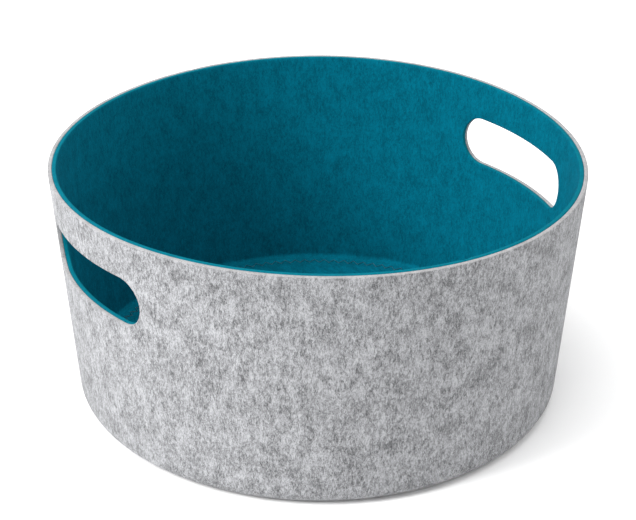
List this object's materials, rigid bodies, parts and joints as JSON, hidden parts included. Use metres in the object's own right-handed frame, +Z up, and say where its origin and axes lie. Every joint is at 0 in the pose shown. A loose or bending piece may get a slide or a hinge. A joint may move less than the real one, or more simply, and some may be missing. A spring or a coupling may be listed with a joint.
{
  "type": "fabric storage bin",
  "caption": "Round open storage bin of thick two-layer felt, slightly tapered, with a cut hand slot on each side and a stiffened base.",
  "frame": {"origin": "centre of the base's underside, on the surface that the bin stands on", "axes": "+Z up out of the open top; the hand slots face +X and -X; the outer wall's seam is at the back, +Y"},
  "size_m": [0.381, 0.381, 0.18],
  "materials": {
    "outer_felt": "light grey heather felt, matt",
    "lining_felt": "teal felt, matt",
    "board": "grey-brown stiffener board, matt",
    "outer_thread": "light grey polyester thread",
    "lining_thread": "teal polyester thread"
  },
  "bodies": {
    "root": {"outer_wall": "outer_felt", "outer_base": "outer_felt", "base_board": "board", "lining_wall": "lining_felt", "lining_base": "lining_felt", "outer_wall_seam_thread": "outer_thread", "outer_base_seam_thread": "outer_thread", "lining_wall_seam_thread": "lining_thread", "lining_base_seam_thread": "lining_thread"}
  },
  "joints": []
}
